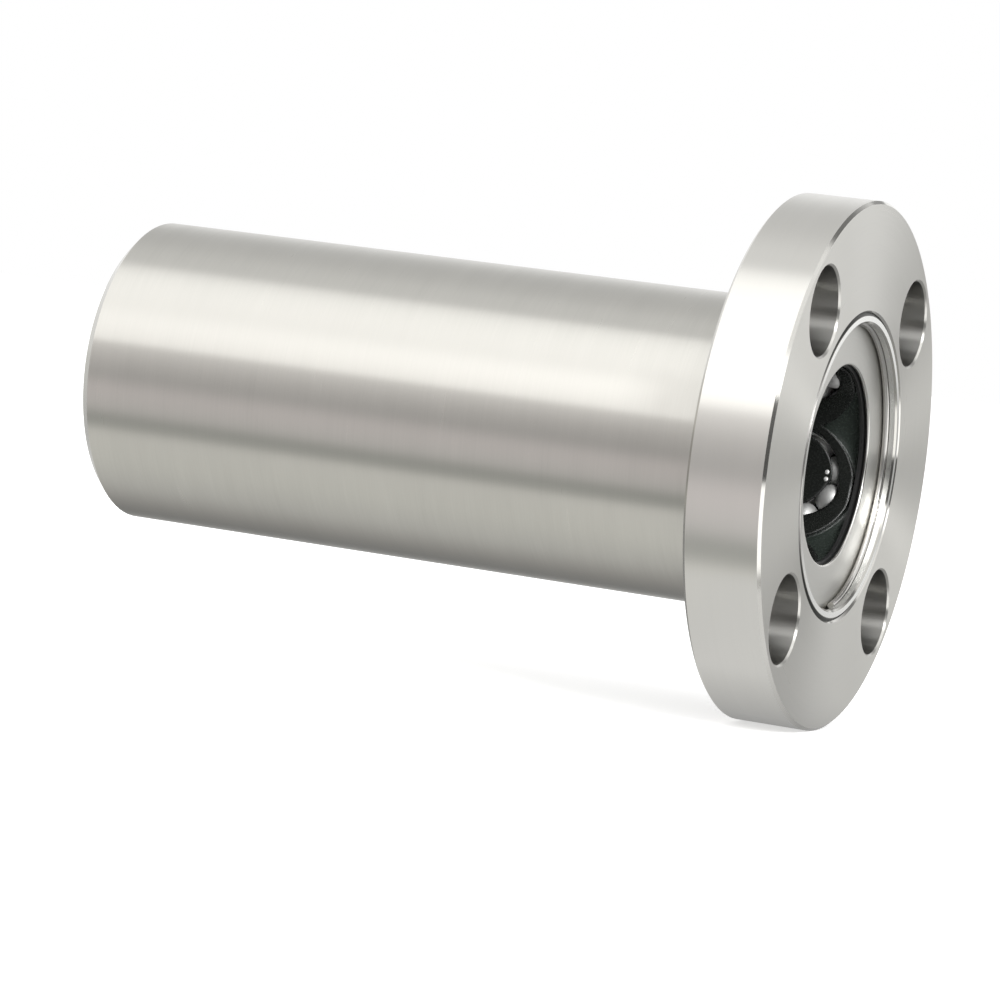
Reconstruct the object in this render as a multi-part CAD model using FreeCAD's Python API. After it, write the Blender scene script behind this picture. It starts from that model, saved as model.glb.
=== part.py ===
import FreeCAD, Part
import math
import os

# Long flanged linear ball bearing, in millimetres. X is the bearing's axis: +X leaves the flange's
# open face and -X the nose. The origin is the centre of the flange's seating face. Angles are in
# degrees, and those round the bearing are about X, from +Y towards +Z.
vec = FreeCAD.Vector
origin = vec(0, 0, 0)
axis = vec(1, 0, 0)

# Driving dimensions
shaft_diameter = 20.0
ball_diameter = 3.175
overall_length = 80.0
circuits = 5
turn_balls = 4
turn_lean = 4.0

# Ball track
shaft_play = 0.03
ball_gap = 0.125
track_clearance = 0.0525
return_rise = 1.335

# Sleeve
land_clearance = 0.06
relief_clearance = 0.06
seat_step = 0.05
sleeve_wall = 1.35
land_width = 5.8
land_margin = 1.0
nose_chamfer = 1.0
mouth_chamfer = 0.2
spigot_step = 0.25
spigot_chamfer = 0.35

# Flange
flange_thickness = 8.0
flange_overhang = 11.0
flange_chamfer = 0.3
flange_bore_chamfer = 0.2
flange_body_clearance = 0.15
bolt_count = 4
first_bolt_angle = 45.0
bolt_hole_diameter = 5.5
counterbore_diameter = 9.0
counterbore_depth = 5.1
counterbore_chamfer = 0.2

# End seals, each held by a snap ring
plate_depth = 1.5
plate_thickness = 0.45
plate_opening_clearance = 0.2
plate_fit = 0.05
rubber_thickness = 0.6
lip_land = 0.3
lip_root_thickness = 0.5
lip_height = 1.2
snap_wire = 0.7
snap_side_clearance = 0.05
snap_groove_depth = 0.45
snap_groove_clearance = 0.05
snap_gap = 6.0
snap_gap_angle = -90.0

# Ball cages
cage_shaft_clearance = 0.2
cage_land_clearance = 0.16
cage_lobe_clearance = 0.2
cage_key_clearance = 0.12
cage_end_play = 0.1
cage_end_wall = 0.5
cage_lead_in = 0.2
turn_slit = 0.65
pad_radius = 6.5
pad_shift = 4.0
pad_height = 0.7
first_circuit_angle = -11.9

# The ball rows: a loaded row on the shaft and a return row further out, joined by half-circle turns
# that lean outwards.
shaft_radius = shaft_diameter / 2
ball_radius = ball_diameter / 2
turn_radius = (ball_diameter + ball_gap) / (2 * math.sin(math.pi / (2 * turn_balls)))
turn_reach = turn_radius * math.cos(math.radians(turn_lean))
ball_pitch = math.pi * turn_radius / turn_balls
channel_radius = ball_radius + track_clearance
loaded_row_radius = shaft_radius + shaft_play + ball_radius
return_row_radius = loaded_row_radius + return_rise
row_angle = math.degrees(
    math.acos(
        (loaded_row_radius**2 + return_row_radius**2 - (2 * turn_radius) ** 2)
        / (2 * loaded_row_radius * return_row_radius)
    )
)

# Sleeve radii and the angles of its relief grooves, one for each circuit
land_radius = loaded_row_radius + ball_radius + land_clearance
relief_radius = return_row_radius + ball_radius + relief_clearance
seat_radius = relief_radius + seat_step
body_radius = seat_radius + sleeve_wall
spigot_radius = body_radius - spigot_step
circuit_angle = 360.0 / circuits
relief_half_angle = (circuit_angle - math.degrees(land_width / land_radius)) / 2
row_offset = relief_half_angle + math.degrees(land_margin / land_radius)

# Places along the axis
front_end = flange_thickness
nose_end = flange_thickness - overall_length
seat_depth = plate_depth + plate_thickness + rubber_thickness
cage_depth = seat_depth + cage_end_play
cage_length = (overall_length - 2 * cage_depth - cage_end_play) / 2

# Flange radii
flange_radius = body_radius + flange_overhang
bolt_circle_radius = body_radius + flange_overhang / 2
bolt_hole_radius = bolt_hole_diameter / 2
counterbore_radius = counterbore_diameter / 2

# Seal radii
plate_opening_radius = shaft_radius + plate_opening_clearance
plate_radius = seat_radius - plate_fit
snap_radius = seat_radius + snap_groove_depth - snap_groove_clearance - snap_wire / 2

# Cage radii, and its circuit along the cage's own axis: 0 at the cage's outer end, negative inwards
cage_bore_radius = shaft_radius + cage_shaft_clearance
cage_radius = land_radius - cage_land_clearance
lobe_radius = relief_radius - cage_lobe_clearance
lobe_half_angle = relief_half_angle - math.degrees(cage_key_clearance / land_radius)
pad_foot_radius = cage_bore_radius + pad_height
end_to_turn = cage_end_wall + channel_radius + turn_reach
straight_balls = int((cage_length - 2 * end_to_turn) / ball_pitch)
straight_length = straight_balls * ball_pitch
outer_turn_x = -end_to_turn
inner_turn_x = outer_turn_x - straight_length


def radial(angle):
    """The direction away from the axis at an angle."""
    return vec(0, math.cos(math.radians(angle)), math.sin(math.radians(angle)))


def turned(edges):
    """A ring turned about X from the closed outline of its section in the XY plane."""
    return Part.Face(Part.Wire(edges)).revolve(origin, axis, 360)


def outline(points):
    """The straight edges of a closed outline through (x, radius) points."""
    return Part.makePolygon([vec(x, r, 0) for x, r in points + points[:1]]).Edges


def sector(x_from, x_to, inner, outer, centre_angle, half_angle):
    """Part of a ring about X, either side of an angle."""
    face = Part.Face(
        Part.Wire(outline([(x_from, inner), (x_from, outer), (x_to, outer), (x_to, inner)]))
    )
    face.rotate(origin, axis, centre_angle - half_angle)
    return face.revolve(origin, axis, 2 * half_angle)


def bolt_places():
    """Centres of the bolt holes in the plane of the seating face."""
    step = 360.0 / bolt_count
    return [radial(first_bolt_angle + i * step) * bolt_circle_radius for i in range(bolt_count)]


def counterbored_hole(place):
    """The tool for one screw hole: a through hole, and a head recess with a broken edge."""
    floor_x = flange_thickness - counterbore_depth
    hole = Part.makeCylinder(bolt_hole_radius, flange_thickness, place, axis)
    head = Part.makeCylinder(counterbore_radius, counterbore_depth, place + axis * floor_x, axis)
    edge = Part.makeCone(
        counterbore_radius,
        counterbore_radius + counterbore_chamfer,
        counterbore_chamfer,
        place + axis * (flange_thickness - counterbore_chamfer),
        axis,
    )
    return hole.fuse([head, edge])


def flange():
    """Round mounting flange, pressed over the sleeve's spigot. Its bore is bevelled at the seating
    face, so that this face stays clear of the body."""
    c = flange_chamfer
    mouth = flange_bore_chamfer
    bevel = spigot_step + flange_body_clearance
    ring = turned(
        outline(
            [
                (bevel, spigot_radius),
                (0, spigot_radius + bevel),
                (0, flange_radius - c),
                (c, flange_radius),
                (flange_thickness - c, flange_radius),
                (flange_thickness, flange_radius - c),
                (flange_thickness, spigot_radius + mouth),
                (flange_thickness - mouth, spigot_radius),
            ]
        )
    )
    return ring.cut([counterbored_hole(place) for place in bolt_places()])


def outer_sleeve():
    """Hardened outer sleeve: ball lands, relief grooves for the return rows, and a seat at each end."""
    groove_radius = seat_radius + snap_groove_depth
    groove_start = plate_depth - snap_wire - snap_side_clearance
    groove_end = plate_depth + snap_side_clearance

    def seat(end, inwards):
        """Half of the inner outline, from one end's mouth to its shoulder."""
        return [
            (end, seat_radius + mouth_chamfer),
            (end + inwards * mouth_chamfer, seat_radius),
            (end + inwards * groove_start, seat_radius),
            (end + inwards * groove_start, groove_radius),
            (end + inwards * groove_end, groove_radius),
            (end + inwards * groove_end, seat_radius),
            (end + inwards * seat_depth, seat_radius),
            (end + inwards * seat_depth, land_radius),
        ]

    outside = [
        (nose_end, body_radius - nose_chamfer),
        (nose_end + nose_chamfer, body_radius),
        (0, body_radius),
        (0, spigot_radius),
        (front_end - spigot_chamfer, spigot_radius),
        (front_end, spigot_radius - spigot_chamfer),
    ]
    tube = turned(outline(outside + seat(front_end, -1) + seat(nose_end, 1)[::-1]))
    grooves = [
        sector(
            nose_end + seat_depth,
            front_end - seat_depth,
            land_radius - relief_clearance,
            relief_radius,
            relief_angle(i),
            relief_half_angle,
        )
        for i in range(circuits)
    ]
    return tube.cut(grooves)


def relief_angle(i):
    """Middle of the sleeve's relief groove for circuit i."""
    return loaded_angle(i) + row_offset


def loaded_angle(i):
    """Angle of the front cage's loaded row in circuit i."""
    chord_foot = (loaded_row_radius + return_row_radius * math.cos(math.radians(row_angle))) / 2
    chord_rise = return_row_radius * math.sin(math.radians(row_angle)) / 2
    turn_centre_angle = math.degrees(math.atan2(chord_rise, chord_foot))
    return first_circuit_angle - turn_centre_angle + i * circuit_angle


class Circuit:
    """One endless ball circuit of the front cage. Its rows lie in a plane that leans out to the
    return row. In what follows, way is 1 for the turn at the outer end and -1 for the other."""

    def __init__(self, i):
        self.loaded = radial(loaded_angle(i)) * loaded_row_radius
        self.returning = radial(loaded_angle(i) + row_angle) * return_row_radius
        self.middle = (self.loaded + self.returning) * 0.5
        self.across = (self.returning - self.loaded).normalize()
        self.outwards = self.across.cross(axis)
        self.middle_angle = math.degrees(math.atan2(self.middle.z, self.middle.y))

    def lean(self, way):
        """A turn's directions: to its tip, and square to its own plane."""
        a = math.radians(turn_lean)
        tip = axis * (way * math.cos(a)) + self.outwards * math.sin(a)
        square = self.outwards * math.cos(a) - axis * (way * math.sin(a))
        return tip, square

    def section(self, centre, outwards):
        """The channel's U section: a round bottom, open towards the sleeve."""
        side = self.across * channel_radius
        reach = outwards * (relief_radius - cage_bore_radius)
        edges = [
            Part.Arc(centre + side, centre - outwards * channel_radius, centre - side),
            Part.LineSegment(centre - side, centre - side + reach),
            Part.LineSegment(centre - side + reach, centre + side + reach),
            Part.LineSegment(centre + side + reach, centre + side),
        ]
        return Part.Face(Part.Wire([edge.toShape() for edge in edges]))

    def slit(self, centre, outwards):
        """The section of a turn's slit, which opens the channel's bottom to the bore."""
        side = self.across * (turn_slit / 2)
        foot = outwards * (cage_bore_radius - relief_radius)
        corners = [centre + side, centre + side + foot, centre - side + foot, centre - side]
        return Part.Face(Part.makePolygon(corners + corners[:1]))

    def turn_tools(self, x, way):
        """The tools that cut one turn: its channel and its slit."""
        square = self.lean(way)[1]
        start = self.loaded + axis * x
        faces = (self.section(start, square), self.slit(start, square))
        return [face.revolve(self.middle + axis * x, square * -way, 180) for face in faces]

    def knee(self, centre, way):
        """The wedge of a ball that joins the round bottoms of a straight and its leaning turn."""
        side = self.across * channel_radius
        bottom = centre - self.outwards * channel_radius
        edges = [
            Part.Arc(centre + side, bottom, centre - side),
            Part.LineSegment(centre - side, centre + side),
        ]
        half_disc = Part.Face(Part.Wire([edge.toShape() for edge in edges]))
        return half_disc.revolve(centre, self.across * way, turn_lean)

    def channel(self):
        """The tools that cut the channel: two straights, two turns and the knees between them."""
        tools = self.turn_tools(outer_turn_x, 1) + self.turn_tools(inner_turn_x, -1)
        for row in (self.loaded, self.returning):
            outer = row + axis * outer_turn_x
            inner = row + axis * inner_turn_x
            tools.append(self.section(outer, self.outwards).extrude(inner - outer))
            tools.append(self.knee(outer, 1))
            tools.append(self.knee(inner, -1))
        return tools

    def pad(self):
        """The outline of the round-ended pad that stands round the circuit in the cage's bore."""
        out = radial(self.middle_angle - pad_shift)
        side = axis.cross(out) * pad_radius
        outer = axis * outer_turn_x
        inner = axis * inner_turn_x
        tip = axis * pad_radius
        edges = [
            Part.Arc(outer + side, outer + tip, outer - side),
            Part.LineSegment(outer - side, inner - side),
            Part.Arc(inner - side, inner - tip, inner + side),
            Part.LineSegment(inner + side, outer + side),
        ]
        oval = Part.Face(Part.Wire([edge.toShape() for edge in edges]))
        return oval.extrude(out * body_radius)

    def ball(self, place):
        return Part.makeSphere(ball_radius, place)

    def row(self, place):
        """The balls of one straight, half a pitch in from its ends."""
        steps = [axis * (outer_turn_x - (k + 0.5) * ball_pitch) for k in range(straight_balls)]
        return [self.ball(place + step) for step in steps]

    def turn(self, x, way):
        """The balls of one turn, evenly spaced round the half circle."""
        tip = self.lean(way)[0]
        balls = []
        for k in range(turn_balls):
            a = math.pi * (k + 0.5) / turn_balls
            offset = self.across * -math.cos(a) + tip * math.sin(a)
            balls.append(self.ball(self.middle + axis * x + offset * turn_radius))
        return balls

    def ball_groups(self):
        return {
            "loaded_balls": self.row(self.loaded),
            "return_balls": self.row(self.returning),
            "outer_turn_balls": self.turn(outer_turn_x, 1),
            "inner_turn_balls": self.turn(inner_turn_x, -1),
        }


def between_pads(tracks):
    """The tools for the shallow recesses at the cage's ends, between the round ends of its pads."""
    pads = [track.pad() for track in tracks]
    tools = []
    for start, stop in ((outer_turn_x, 0), (-cage_length, inner_turn_x)):
        core = Part.makeCylinder(pad_foot_radius, stop - start, axis * start, axis)
        tools.append(core.cut(pads))
    return tools


def cage(tracks):
    """Moulded ball cage: a tube with lobes that key into the sleeve, cut by the ball channels."""
    tube = turned(
        outline(
            [
                (0, cage_bore_radius + cage_lead_in),
                (0, cage_radius),
                (-cage_length, cage_radius),
                (-cage_length, cage_bore_radius + cage_lead_in),
                (cage_lead_in - cage_length, cage_bore_radius),
                (-cage_lead_in, cage_bore_radius),
            ]
        )
    )
    lobes = [
        sector(
            -cage_length,
            0,
            cage_radius - cage_land_clearance,
            lobe_radius,
            relief_angle(i),
            lobe_half_angle,
        )
        for i in range(circuits)
    ]
    body = tube.fuse(lobes).cut(between_pads(tracks))
    for track in tracks:
        body = body.cut(track.channel())
    return body.removeSplitter()


def at_front(shape):
    """Moves a piece from the cage's own frame to the front half."""
    placed = shape.copy()
    placed.translate(axis * (front_end - cage_depth))
    return placed


def at_rear(shape):
    """Turns a piece end for end about a relief groove's middle, and moves it to the nose half."""
    placed = shape.copy()
    placed.rotate(origin, radial(relief_angle(0)), 180)
    placed.translate(axis * (nose_end + cage_depth))
    return placed


def seal_plate(end, inwards):
    """Steel plate that closes an end, with a rounded edge round the shaft."""
    half = plate_thickness / 2
    outer = end + inwards * plate_depth
    inner = outer + inwards * plate_thickness
    straight_from = plate_opening_radius + half
    corners = [
        vec(outer, straight_from, 0),
        vec(outer, plate_radius, 0),
        vec(inner, plate_radius, 0),
        vec(inner, straight_from, 0),
    ]
    edges = [Part.LineSegment(a, b).toShape() for a, b in zip(corners, corners[1:])]
    tip = vec(outer + inwards * half, plate_opening_radius, 0)
    edges.append(Part.Arc(corners[-1], tip, corners[0]).toShape())
    return turned(edges)


def seal_lip(end, inwards):
    """Rubber seal behind the plate, with a thin lip that wipes the shaft."""
    outer = end + inwards * (plate_depth + plate_thickness)
    root_radius = shaft_radius + lip_height
    land_from = outer + inwards * (lip_root_thickness - lip_land)
    return turned(
        outline(
            [
                (outer, root_radius),
                (outer, plate_radius),
                (outer + inwards * rubber_thickness, plate_radius),
                (outer + inwards * rubber_thickness, root_radius + lip_land),
                (outer + inwards * lip_root_thickness, root_radius),
                (outer + inwards * lip_root_thickness, shaft_radius),
                (land_from, shaft_radius),
            ]
        )
    )


def snap_ring(end, inwards):
    """Split ring of round spring wire in the sleeve's groove, in front of the seal plate."""
    x = end + inwards * (plate_depth - snap_wire / 2)
    opening_half_angle = math.degrees(snap_gap / 2 / snap_radius)
    wire = Part.Face(Part.Wire(Part.makeCircle(snap_wire / 2, vec(x, snap_radius, 0))))
    wire.rotate(origin, axis, snap_gap_angle + opening_half_angle)
    return wire.revolve(origin, axis, 360 - 2 * opening_half_angle)


def save(shape, node):
    shape.exportStep("parts/" + node + ".step")


def main():
    os.makedirs("parts", exist_ok=True)
    tracks = [Circuit(i) for i in range(circuits)]
    front_cage = cage(tracks)
    save(flange(), "flange")
    save(outer_sleeve(), "outer_sleeve")
    for half, end, inwards, place in (
        ("front", front_end, -1, at_front),
        ("rear", nose_end, 1, at_rear),
    ):
        save(seal_plate(end, inwards), half + "_seal_plate")
        save(seal_lip(end, inwards), half + "_seal_lip")
        save(snap_ring(end, inwards), half + "_snap_ring")
        save(place(front_cage), half + "_cage")
        for number, track in enumerate(tracks, 1):
            for group, balls in track.ball_groups().items():
                node = half + "_" + str(number) + "_" + group
                save(place(Part.makeCompound(balls)), node)


main()
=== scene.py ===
"""The looks of the flanged linear ball bearing: its finishes, a pale studio and the camera."""

import math

import bmesh
import bpy
from mathutils import Matrix, Vector


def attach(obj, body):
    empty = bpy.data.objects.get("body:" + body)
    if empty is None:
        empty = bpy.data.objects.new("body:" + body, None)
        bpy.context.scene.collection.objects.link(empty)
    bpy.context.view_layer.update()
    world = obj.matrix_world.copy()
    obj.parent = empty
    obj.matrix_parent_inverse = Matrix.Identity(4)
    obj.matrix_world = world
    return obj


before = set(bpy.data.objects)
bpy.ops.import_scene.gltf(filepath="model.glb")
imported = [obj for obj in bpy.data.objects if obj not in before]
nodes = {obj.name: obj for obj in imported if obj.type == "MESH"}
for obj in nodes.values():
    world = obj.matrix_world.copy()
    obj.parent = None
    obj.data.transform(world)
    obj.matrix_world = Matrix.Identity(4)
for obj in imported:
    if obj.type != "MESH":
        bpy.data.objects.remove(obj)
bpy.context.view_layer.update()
scene = bpy.context.scene

MM = 0.001

# The bearing lies along X, and its flange's open face is at x = 8 mm. Radii from the axis:
FLANGE_RIM = 27 * MM
BODY_RADIUS = 16 * MM
PAD_RADIUS = 10.2 * MM

# The front end's bands lie beyond FRONT_END, and the floors of the screw holes' recesses before
# RECESS_FLOOR. A band's tone goes from its side tone to its upright tone with the height |z|, which
# paints light and shade on it by height.
FRONT_END = 7.0 * MM
RECESS_FLOOR = 6.0 * MM
PAINTED_LIGHT_HEIGHTS = (5 * MM, 11 * MM)

BEVEL_ROUGHNESS = 0.12
HOLE_EDGE_ROUGHNESS = 0.30
HOLE_FLOOR_ROUGHNESS = 0.14
# The floors of the screw holes' recesses are darker than the flange, as painted shade.
HOLE_FLOOR_SHADE = (0.32, 0.317, 0.30)


class Nodes:
    """A node tree, with short ways to add nodes and link them. A Mix node takes the amount at input
    0, and what it mixes at 2 and 3 for numbers, 4 and 5 for vectors, and 6 and 7 for colours."""

    def __init__(self, tree):
        self.tree = tree

    def add(self, kind, inputs=None, **settings):
        """A node with its settings, and its inputs by name or number: values or sockets to link."""
        node = self.tree.nodes.new(kind)
        for key, value in settings.items():
            setattr(node, key, value)
        for key, value in (inputs or {}).items():
            if isinstance(value, bpy.types.NodeSocket):
                self.tree.links.new(value, node.inputs[key])
            else:
                node.inputs[key].default_value = value
        return node

    def math(self, operation, *values):
        node = self.add("ShaderNodeMath", dict(enumerate(values)), operation=operation)
        return node.outputs[0]

    def remap(self, value, low, high, to_low, to_high, smooth=False):
        node = self.add(
            "ShaderNodeMapRange",
            {"Value": value, "From Min": low, "From Max": high, "To Min": to_low, "To Max": to_high},
            interpolation_type="SMOOTHSTEP" if smooth else "LINEAR",
        )
        return node.outputs["Result"]

    def window(self, value, low, high, soft):
        """1 where a value lies between two limits, falling to 0 within a soft margin outside."""
        rise = self.remap(value, low - soft, low, 0, 1, smooth=True)
        fall = self.remap(value, high, high + soft, 1, 0, smooth=True)
        return self.math("MULTIPLY", rise, fall)

    def blend(self, amount, start, end):
        """A colour from start to end, each a socket or a plain colour, by an amount from 0 to 1."""
        node = self.add("ShaderNodeMix", {0: amount}, data_type="RGBA")
        for slot, colour in ((6, start), (7, end)):
            if isinstance(colour, bpy.types.NodeSocket):
                self.tree.links.new(colour, node.inputs[slot])
            else:
                node.inputs[slot].default_value = (*colour, 1)
        return node.outputs[2]

    def ring_length(self, y, z):
        """The length of (y, z)."""
        squares = [self.math("MULTIPLY", value, value) for value in (y, z)]
        return self.math("SQRT", self.math("ADD", *squares))


class Shader(Nodes):
    """A new material on the Principled shader."""

    def __init__(self, name):
        self.material = bpy.data.materials.new(name)
        self.material.use_nodes = True
        super().__init__(self.material.node_tree)
        self.bsdf = self.tree.nodes["Principled BSDF"]
        coordinates = self.add("ShaderNodeTexCoord").outputs
        self.place = coordinates["Object"]
        self.x, self.y, self.z = self.add("ShaderNodeSeparateXYZ", {0: self.place}).outputs
        self.normal = coordinates["Normal"]
        along = self.add("ShaderNodeSeparateXYZ", {0: self.normal}).outputs[0]
        self.facing = self.math("ABSOLUTE", along)
        self.radius = self.ring_length(self.y, self.z)

    def link(self, value, socket):
        self.tree.links.new(value, self.bsdf.inputs[socket])

    def set(self, **values):
        """Values of the surface shader's own sockets, with _ for a space in their names."""
        for key, value in values.items():
            self.bsdf.inputs[key.replace("_", " ")].default_value = value

    def turning(self, spacing, around, detail=2.0, roughness=0.5):
        """Noise drawn out round the bearing's axis, as turning and grinding leave it."""
        vector = self.add(
            "ShaderNodeCombineXYZ",
            {
                0: self.math("MULTIPLY", self.math("DIVIDE", self.y, self.radius), around),
                1: self.math("MULTIPLY", self.math("DIVIDE", self.z, self.radius), around),
                2: self.math("DIVIDE", self.x, spacing),
            },
        )
        noise = self.add(
            "ShaderNodeTexNoise",
            {
                "Vector": vector.outputs[0],
                "W": self.math("DIVIDE", self.radius, spacing),
                "Scale": 1.0,
                "Detail": detail,
                "Roughness": roughness,
            },
            noise_dimensions="4D",
        )
        return noise.outputs["Fac"]

    def speckle(self, size, detail=2.0):
        """Even noise with grains of one size."""
        noise = self.add(
            "ShaderNodeTexNoise", {"Vector": self.place, "Scale": 1 / size, "Detail": detail}
        )
        return noise.outputs["Fac"]

    def bevels(self):
        """1 on faces that slope between the end faces and the cylinders."""
        return self.window(self.facing, 0.5, 0.9, 0.05)

    def bores(self, outside):
        """1 on walls along the axis that lie nearer to it than the outside does."""
        wall = self.remap(self.facing, 0.3, 0.4, 1, 0)
        within = self.remap(self.radius, outside - 0.5 * MM, outside - 0.3 * MM, 1, 0)
        return self.math("MULTIPLY", wall, within)

    def round_marks(self):
        """Lays the gloss's direction round the axis on end faces, and round each wall's own axis."""
        disc = self.add("ShaderNodeTangent", direction_type="RADIAL", axis="X").outputs[0]
        wall = self.add("ShaderNodeVectorMath", {0: self.normal, 1: (1, 0, 0)}, operation="CROSS_PRODUCT")
        flat = self.remap(self.facing, 0.9, 0.95, 0, 1)
        mix = self.add("ShaderNodeMix", {0: flat, 4: wall.outputs[0], 5: disc}, data_type="VECTOR")
        self.link(mix.outputs[1], "Tangent")

    def tint(self, dark, light, amount):
        """The base colour, from dark to light by an amount from 0 to 1."""
        self.link(self.blend(amount, dark, light), "Base Color")

    def bump(self, height, distance, strength=1.0, rounding=0):
        """Fine relief, on edges that look rounded by a radius."""
        inputs = {"Height": height, "Distance": distance, "Strength": strength}
        if rounding:
            inputs["Normal"] = self.add("ShaderNodeBevel", {"Radius": rounding}, samples=6).outputs[0]
        self.link(self.add("ShaderNodeBump", inputs).outputs[0], "Normal")


def turned_steel(name, colour, rough, marks, grain, stretch, outside, bore, painted_light_rings=(), holes=None):
    """Steel with fine marks round the axis: marks is how much they change its colour, grain is their
    height, and stretch the gloss's drawing-out. outside is the radius of the outer cylinder, and bore
    the colour and roughness of the walls within it. Each ring of the front end is a band given by its
    radii, whether it is bevelled, its colour at the sides, its colour at the top and bottom, and its
    roughness; these two colours paint light and shade by height. holes is the band by radius in
    which bevels are the duller edges of screw holes, and flat faces behind the front are their
    floors, which are painted darker as shade."""
    s = Shader(name)
    fine = s.turning(spacing=0.16 * MM, around=2.2, detail=3.0, roughness=0.6)
    broad = s.turning(spacing=1.7 * MM, around=1.3)
    wear = s.math("ADD", s.math("MULTIPLY", fine, 0.6), s.math("MULTIPLY", broad, 0.4))
    level = s.remap(wear, 0.3, 0.7, 0, 1)
    bevels, bores = s.bevels(), s.bores(outside)
    steel = s.blend(level, [c * (1 - marks) for c in colour], [c * (1 + marks) for c in colour])
    steel = s.blend(bores, steel, bore[0])
    front = s.remap(s.x, FRONT_END, FRONT_END + 0.2 * MM, 0, 1)
    flat = s.remap(s.facing, 0.95, 0.97, 0, 1)
    upright = s.remap(s.math("ABSOLUTE", s.z), *PAINTED_LIGHT_HEIGHTS, 0, 1, smooth=True)
    smooth = [(bevels, BEVEL_ROUGHNESS), (bores, bore[1])]
    # Each ring paints light and shade on the front end: its tone changes with the height |z|.
    for low, high, sloping, painted_side_tone, painted_upright_tone, value in painted_light_rings:
        band = s.math("MULTIPLY", s.window(s.radius, low, high, 0.03 * MM), front)
        mask = s.math("MULTIPLY", band, bevels if sloping else flat)
        steel = s.blend(mask, steel, s.blend(upright, painted_side_tone, painted_upright_tone))
        smooth.append((mask, value))
    finish = s.remap(wear, 0.3, 0.7, rough * 1.07, rough * 0.93)
    if holes:
        band = s.window(s.radius, holes[0], holes[1], 0.1 * MM)
        sunk = s.remap(s.x, RECESS_FLOOR, FRONT_END, 1, 0)
        floors = s.math("MULTIPLY", s.math("MULTIPLY", flat, band), sunk)
        smooth.append((s.math("MULTIPLY", bevels, band), HOLE_EDGE_ROUGHNESS))
        smooth.append((floors, HOLE_FLOOR_ROUGHNESS))
        # The holes' floors are painted darker, as painted shade.
        steel = s.blend(floors, steel, HOLE_FLOOR_SHADE)
    s.link(steel, "Base Color")
    for mask, value in smooth:
        finish = s.add("ShaderNodeMix", {0: mask, 2: finish, 3: value}).outputs[0]
    s.link(finish, "Roughness")
    s.bump(fine, grain, s.math("SUBTRACT", 1.0, s.math("MAXIMUM", bevels, bores)))
    s.round_marks()
    s.set(Metallic=1.0, Anisotropic=stretch, Anisotropic_Rotation=0.25)
    return s.material


def ball_steel(name, dark, light, rough):
    """Dull, faintly clouded steel, from dark to light."""
    s = Shader(name)
    s.tint(dark, light, s.speckle(1.3 * MM))
    s.link(s.remap(s.speckle(0.2 * MM), 0.3, 0.7, rough, rough + 0.1), "Roughness")
    s.set(Metallic=0.5)
    return s.material


def moulded_resin():
    """Black resin, greyer in the recesses than on the raised pads, and painted pale in the ball channels
    as a painted highlight.
    """
    s = Shader("cage_resin")
    recess = s.remap(s.radius, PAD_RADIUS + 0.2 * MM, PAD_RADIUS + 0.5 * MM, 0, 1)
    # The ball channels are painted pale, as a painted highlight.
    painted_channel_highlight = s.remap(s.radius, PAD_RADIUS + 0.76 * MM, PAD_RADIUS + 0.9 * MM, 0, 1)
    cloud = s.speckle(2.5 * MM)
    pad = s.blend(cloud, (0.011, 0.012, 0.011), (0.019, 0.021, 0.019))
    floor = s.blend(cloud, (0.027, 0.034, 0.029), (0.038, 0.047, 0.041))
    s.link(s.blend(painted_channel_highlight, s.blend(recess, pad, floor), (0.90, 0.90, 0.88)), "Base Color")
    s.link(s.remap(s.speckle(0.25 * MM), 0.3, 0.7, 0.20, 0.32), "Roughness")
    s.bump(s.speckle(0.12 * MM), 0.0006 * MM, 1.0, 0.3 * MM)
    s.set(Specular_IOR_Level=0.5)
    return s.material


def seal_rubber():
    s = Shader("seal_rubber")
    s.tint((0.008, 0.008, 0.008), (0.014, 0.014, 0.014), s.speckle(1.5 * MM))
    s.link(s.remap(s.speckle(0.3 * MM), 0.3, 0.7, 0.5, 0.65), "Roughness")
    s.bump(s.speckle(0.1 * MM), 0.003 * MM)
    s.set(Specular_IOR_Level=0.5)
    return s.material


def dress(node, material):
    mesh = nodes[node].data
    mesh.materials.clear()
    mesh.materials.append(material)


SLEEVE = (0.47, 0.462, 0.432)
FLANGE = (0.56, 0.552, 0.522)
PLATE = (0.53, 0.525, 0.50)
SPRING = (0.50, 0.49, 0.47)

# The joint between sleeve and flange is dark, and painted shade makes it darker at the top and bottom;
# the sleeve's narrow end face inside it is bright at the top and bottom as a painted highlight
SLEEVE_PAINTED_LIGHT_RINGS = (
    (15.44 * MM, 15.80 * MM, True, (0.40, 0.39, 0.38), (0.09, 0.09, 0.085), 0.5),
    (14.86 * MM, 15.38 * MM, False, (0.44, 0.435, 0.42), (0.86, 0.86, 0.84), 0.2),
)
SLEEVE_BORE = ((0.88, 0.88, 0.86), 0.22)
# The flange's walls within it, mostly the screw holes' walls, are darker than its outside, as painted
# shade.
FLANGE_BORE_SHADE = ((0.37, 0.366, 0.35), 0.30)
HOLE_BAND = (16.6 * MM, 26.3 * MM)

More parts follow.
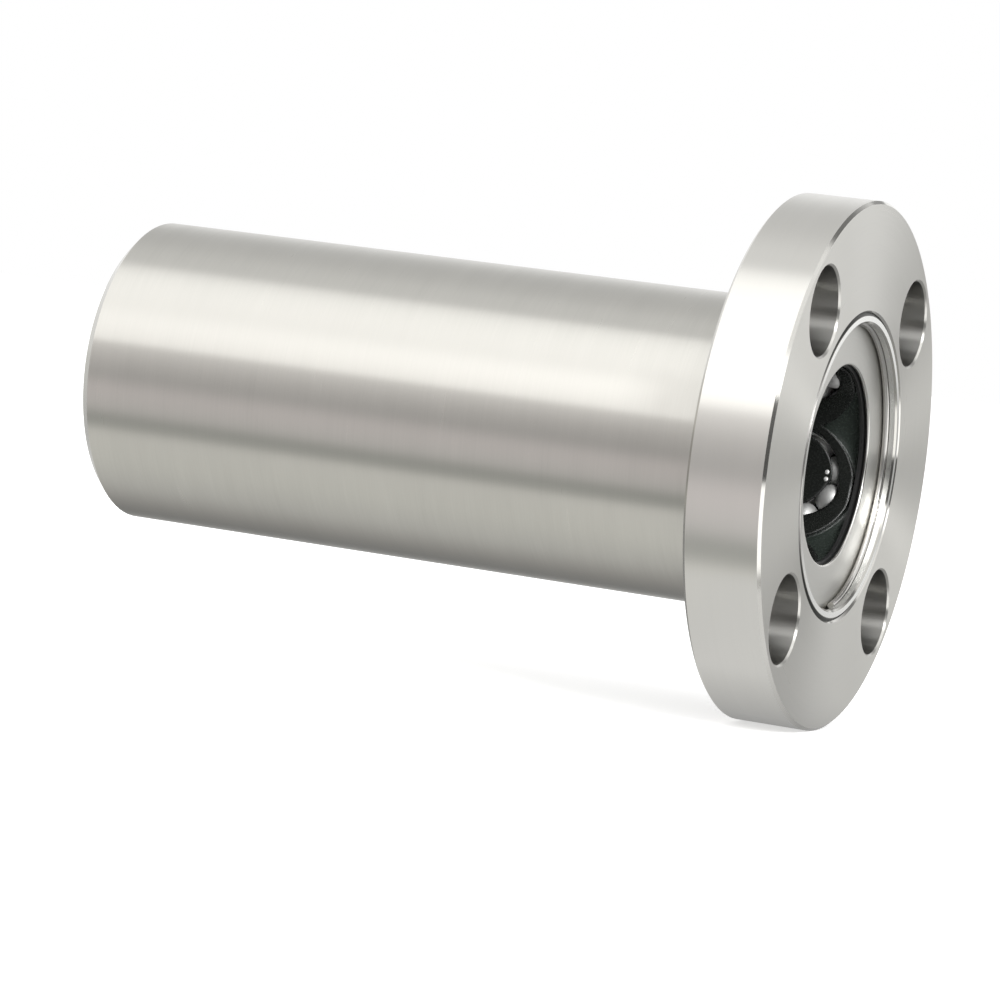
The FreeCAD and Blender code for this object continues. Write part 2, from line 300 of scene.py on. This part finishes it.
sleeve_steel = turned_steel(
    "sleeve_steel",
    SLEEVE,
    rough=0.29,
    marks=0.03,
    grain=0.0004 * MM,
    stretch=0.95,
    outside=BODY_RADIUS,
    bore=SLEEVE_BORE,
    painted_light_rings=SLEEVE_PAINTED_LIGHT_RINGS,
)
flange_steel = turned_steel(
    "flange_steel",
    FLANGE,
    rough=0.29,
    marks=0.008,
    grain=0.00012 * MM,
    stretch=0.95,
    outside=FLANGE_RIM,
    bore=FLANGE_BORE_SHADE,
    holes=HOLE_BAND,
)
seal_steel = turned_steel(
    "seal_steel",
    PLATE,
    rough=0.34,
    marks=0.02,
    grain=0.0002 * MM,
    stretch=0.2,
    outside=BODY_RADIUS,
    bore=(PLATE, 0.3),
)
spring_steel = turned_steel(
    "spring_steel",
    SPRING,
    rough=0.25,
    marks=0.05,
    grain=0.0005 * MM,
    stretch=0.4,
    outside=BODY_RADIUS,
    bore=(SPRING, 0.3),
)
balls = ball_steel("ball_steel", dark=(0.46, 0.46, 0.45), light=(0.54, 0.54, 0.53), rough=0.44)
# Near-white steel for the studs, as painted glints.
bright = ball_steel("point_steel", dark=(0.93, 0.93, 0.91), light=(0.98, 0.98, 0.96), rough=0.30)
resin = moulded_resin()
rubber = seal_rubber()

for name in nodes:
    if name.endswith("_balls"):
        dress(name, balls)
    elif name.endswith("_cage"):
        dress(name, resin)
    elif name.endswith("_seal_lip"):
        dress(name, rubber)
    elif name.endswith("_seal_plate"):
        dress(name, seal_steel)
    elif name.endswith("_snap_ring"):
        dress(name, spring_steel)
dress("outer_sleeve", sleeve_steel)
dress("flange", flange_steel)

# Two small studs at the tip of each ball circuit, on the cages' bores, whose near-white finish gives
# two bright points as painted glints. Angles are in degrees from +Y towards +Z.
POINT_RADIUS = 0.25 * MM
POINT_HEIGHT = 0.12 * MM
POINT_ANGLE = 2.08
CIRCUITS = 5
FRONT_TIP, FRONT_CIRCUIT_ANGLE = 2.37 * MM, -8.64
REAR_TIP, REAR_CIRCUIT_ANGLE = -66.37 * MM, -2.52


def bright_points(name, x, first_angle):
    """Small flattened studs, two for each circuit, that stand a little proud of a cage's bore, with a
    near-white finish as painted glints.
    """
    mesh = bpy.data.meshes.new(name)
    shape = bmesh.new()
    for circuit in range(CIRCUITS):
        for side in (-POINT_ANGLE, POINT_ANGLE):
            a = math.radians(first_angle + circuit * 360 / CIRCUITS + side)
            place = Matrix.Translation((x, PAD_RADIUS * math.cos(a), PAD_RADIUS * math.sin(a)))
            outwards = Matrix.Rotation(a - math.pi / 2, 4, "X")
            flatten = Matrix.Diagonal((POINT_RADIUS, POINT_RADIUS, POINT_HEIGHT, 1))
            matrix = place @ outwards @ flatten
            bmesh.ops.create_uvsphere(shape, u_segments=16, v_segments=10, radius=1, matrix=matrix)
    for face in shape.faces:
        face.smooth = True
    shape.to_mesh(mesh)
    shape.free()
    mesh.materials.append(bright)
    piece = bpy.data.objects.new(name, mesh)
    scene.collection.objects.link(piece)
    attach(piece, "housing")


bright_points("front_cage_points", FRONT_TIP, FRONT_CIRCUIT_ANGLE)
bright_points("rear_cage_points", REAR_TIP, REAR_CIRCUIT_ANGLE)

# Floor, just under the flange's rim: its shadow stays faint, and it's left out of reflections but
# for a small glowing card under the flange, whose glow fades towards the rim's foot as a painted shadow
FLOOR_Z = -FLANGE_RIM - 0.05 * MM


def staged_sheet(name, x_range, y_range, z):
    """A flat staged rectangle, and the emptied node tree of its material."""
    mesh = bpy.data.meshes.new(name)
    corners = [(x, y, z) for x, y in zip(x_range + x_range[::-1], sorted(y_range * 2))]
    mesh.from_pydata(corners, [], [(0, 1, 2, 3)])
    material = bpy.data.materials.new(name)
    material.use_nodes = True
    material.node_tree.nodes.clear()
    mesh.materials.append(material)
    sheet = bpy.data.objects.new(name, mesh)
    scene.collection.objects.link(sheet)
    return sheet, Nodes(material.node_tree)


FLOOR_REACH = (-3.0, 3.0)
floor, paper = staged_sheet("floor", FLOOR_REACH, FLOOR_REACH, FLOOR_Z)
floor.visible_glossy = False
surface = paper.add("ShaderNodeBsdfDiffuse", {"Color": (0.9, 0.9, 0.9, 1)})
lift = paper.math("MULTIPLY", paper.add("ShaderNodeLightPath").outputs["Is Camera Ray"], 0.5)
glow = paper.add("ShaderNodeEmission", {"Strength": lift})
lit = paper.add("ShaderNodeAddShader", {0: surface.outputs[0], 1: glow.outputs[0]})
paper.add("ShaderNodeOutputMaterial", {"Surface": lit.outputs[0]})

CARD_X = (-6 * MM, 30 * MM)
CARD_Y = (-37 * MM, 20 * MM)
card, foot = staged_sheet("flange_card", CARD_X, CARD_Y, FLOOR_Z + 0.01 * MM)
card.visible_camera = False
card.visible_diffuse = False
card.visible_shadow = False
place = foot.add("ShaderNodeTexCoord").outputs["Object"]
card_y = foot.add("ShaderNodeSeparateXYZ", {0: place}).outputs[1]
# The card's glow fades towards the rim's foot, as a painted contact shadow.
shade = foot.remap(card_y, -16 * MM, -4 * MM, 1.03, 0.46)
card_glow = foot.add("ShaderNodeEmission", {"Strength": shade})
foot.add("ShaderNodeOutputMaterial", {"Surface": card_glow.outputs[0]})

# World: white to the camera. To metal it is a pale studio, whose tone goes by the angle in degrees
# round X, from 0 on the horizon in front of the object up to 90 overhead. BODY holds the tones for
# directions that lean towards the nose, and FRONT for those that lean towards the flange.
world = bpy.data.worlds.new("studio")
scene.world = world
world.use_nodes = True
sky = Nodes(world.node_tree)
background = sky.tree.nodes["Background"]
direction = sky.add("ShaderNodeTexCoord").outputs["Generated"]
dx, dy, dz = sky.add("ShaderNodeSeparateXYZ", {0: direction}).outputs
height = sky.math("DEGREES", sky.math("ARCTAN2", dz, sky.math("MULTIPLY", dy, -1.0)))

BODY = [
    (-180, (0.95, 0.95, 0.93)),
    (-166, (0.88, 0.88, 0.87)),
    (-153, (0.32, 0.32, 0.315)),
    (-138, (0.34, 0.34, 0.335)),
    (-122, (0.54, 0.53, 0.52)),
    (-100, (0.90, 0.90, 0.88)),
    (-75, (1.07, 1.07, 1.03)),
    (-51, (1.10, 1.09, 1.06)),
    (-46, (0.50, 0.51, 0.49)),
    (-39, (0.50, 0.51, 0.49)),
    (-33, (0.90, 0.87, 0.87)),
    (-18, (0.95, 0.89, 0.90)),
    (-6, (0.80, 0.78, 0.78)),
    (7, (1.02, 0.99, 0.99)),
    (17, (1.07, 1.04, 1.04)),
    (26, (0.96, 0.94, 0.94)),
    (85, (1.02, 1.02, 1.02)),
    (97, (1.14, 1.14, 1.14)),
    (110, (1.03, 1.03, 1.03)),
    (125, (0.93, 0.93, 0.93)),
    (138, (0.89, 0.89, 0.89)),
    (160, (1.22, 1.22, 1.22)),
    (175, (1.14, 1.14, 1.13)),
]
FRONT = [
    (-180, (0.97, 0.97, 0.96)),
    (-178, (0.86, 0.86, 0.85)),
    (-175, (0.62, 0.62, 0.61)),
    (-160, (0.42, 0.42, 0.42)),
    (-145, (0.38, 0.38, 0.38)),
    (-110, (0.45, 0.45, 0.44)),
    (-60, (0.50, 0.50, 0.49)),
    (-38, (0.70, 0.70, 0.69)),
    (-27, (1.10, 1.10, 1.10)),
    (-12, (1.10, 1.10, 1.10)),
    (20, (1.40, 1.40, 1.40)),
    (48, (1.50, 1.50, 1.50)),
    (55, (3.40, 3.40, 3.40)),
    (74, (3.40, 3.40, 3.40)),
    (82, (1.60, 1.60, 1.60)),
    (103, (1.60, 1.60, 1.60)),
    (110, (0.20, 0.20, 0.20)),
    (140, (0.30, 0.30, 0.30)),
    (160, (1.30, 1.30, 1.30)),
    (172, (1.20, 1.20, 1.20)),
]


def studio_wall(stops):
    """A colour ramp over the full circle of angles, which ends on the tone that it starts with."""
    turn = sky.remap(height, -180, 180, 0, 1)
    ramp = sky.add("ShaderNodeValToRGB", {0: turn})
    elements = ramp.color_ramp.elements
    elements[0].color = (*stops[0][1], 1)
    elements[1].color = (*stops[0][1], 1)
    for angle, colour in stops[1:]:
        elements.new((angle + 180) / 360).color = (*colour, 1)
    return ramp.outputs["Color"]


def both(*windows):
    """Where all the windows are open."""
    total = windows[0]
    for window in windows[1:]:
        total = sky.math("MULTIPLY", total, window)
    return total


towards_flange = sky.remap(dx, 0.08, 0.18, 0, 1, smooth=True)
studio = sky.blend(towards_flange, studio_wall(BODY), studio_wall(FRONT))
aside = sky.remap(sky.ring_length(dy, dz), 0.15, 0.4, 0, 1, smooth=True)
studio = sky.blend(aside, (0.95, 0.95, 0.94), studio)

# Screens and lamps in the studio, each a patch of one tone: dark behind the camera, behind the
# object and beyond the flange's end, and bright above the flange and low beyond its end
behind_camera = both(sky.window(height, -10, 8, soft=3), sky.window(dx, 0.05, 0.75, soft=0.06))
top_lamp = both(sky.window(dz, 0.32, 0.95, soft=0.04), sky.window(dx, 0.56, 0.86, soft=0.05))
back_screen = both(sky.window(height, 146, 162, soft=2), sky.window(dx, -0.03, 0.10, soft=0.03))
end_screen = both(sky.window(dz, -0.10, 0.26, soft=0.03), sky.remap(dx, 0.87, 0.91, 0, 1))
end_lamp = both(sky.window(dz, -0.50, -0.15, soft=0.03), sky.remap(dx, 0.80, 0.85, 0, 1))
for patch, tone in (
    (behind_camera, 0.10),
    (top_lamp, 1.3),
    (back_screen, 0.4),
    (end_screen, 0.10),
    (end_lamp, 2.0),
):
    studio = sky.blend(patch, studio, (tone, tone, tone))

rays = sky.add("ShaderNodeLightPath").outputs
clear = sky.math("MAXIMUM", rays["Is Camera Ray"], rays["Is Transmission Ray"])
seen = sky.math("MAXIMUM", clear, rays["Is Glossy Ray"])
shown = sky.blend(clear, studio, (1, 1, 1))
sky.tree.links.new(sky.blend(seen, (0.8, 0.8, 0.8), shown), background.inputs["Color"])
background.inputs["Strength"].default_value = 1.0


def pose(place, right, up, back):
    """The matrix of a lamp or camera at a place, from its own three directions."""
    turn = Matrix(((right.x, up.x, back.x), (right.y, up.y, back.y), (right.z, up.z, back.z)))
    return Matrix.Translation(place) @ turn.to_4x4()


def softbox(name, matrix, width, depth, power):
    """A rectangular area light that the camera doesn't see."""
    data = bpy.data.lights.new(name, "AREA")
    data.shape = "RECTANGLE"
    data.size, data.size_y = width, depth
    data.energy = power
    lamp = bpy.data.objects.new(name, data)
    scene.collection.objects.link(lamp)
    lamp.matrix_world = matrix
    lamp.visible_camera = False


# The main softbox stands over the front of the bearing, faces its axis and is long along it
SOFTBOX_ANGLE = math.radians(51.5)
SOFTBOX_REACH = 0.9
SOFTBOX_X = -0.3
along = Vector((1, 0, 0))
out = Vector((0, -math.cos(SOFTBOX_ANGLE), math.sin(SOFTBOX_ANGLE)))
main_pose = pose(along * SOFTBOX_X + out * SOFTBOX_REACH, along, along.cross(out), out)
softbox("main_softbox", main_pose, width=2.2, depth=1.15, power=6.7)

# The small one lights the bearing's mouth
mouth_place, mouth_target = Vector((0.40, -0.38, 0.30)), Vector((0, 0.01, 0))
aim = (mouth_target - mouth_place).to_track_quat("-Z", "Y")
mouth_pose = Matrix.Translation(mouth_place) @ aim.to_matrix().to_4x4()
softbox("mouth_softbox", mouth_pose, width=0.2, depth=0.2, power=2.3)

# Camera: its angles are in radians, and its place is measured from the middle of the object
azimuth, elevation, roll = 0.382166, 0.049872, 0.126793
middle = Vector((-32 * MM, 0, 0))
back = Vector(
    (
        math.sin(azimuth) * math.cos(elevation),
        -math.cos(azimuth) * math.cos(elevation),
        math.sin(elevation),
    )
)
level = Vector((math.cos(azimuth), math.sin(azimuth), 0))
upright = level.cross(-back)
right = math.cos(roll) * level + math.sin(roll) * upright
up = math.cos(roll) * upright - math.sin(roll) * level
eye = middle + 1.2104 * MM * right - 8.7439 * MM * up + 427.70 * MM * back
lens = bpy.data.cameras.new("camera")
lens.sensor_width = 36
lens.lens = 146.951
lens.clip_start = 0.01
lens.clip_end = 20
camera = bpy.data.objects.new("camera", lens)
scene.collection.objects.link(camera)
camera.matrix_world = pose(eye, right, up, back)
scene.camera = camera
scene.view_settings.view_transform = "Standard"
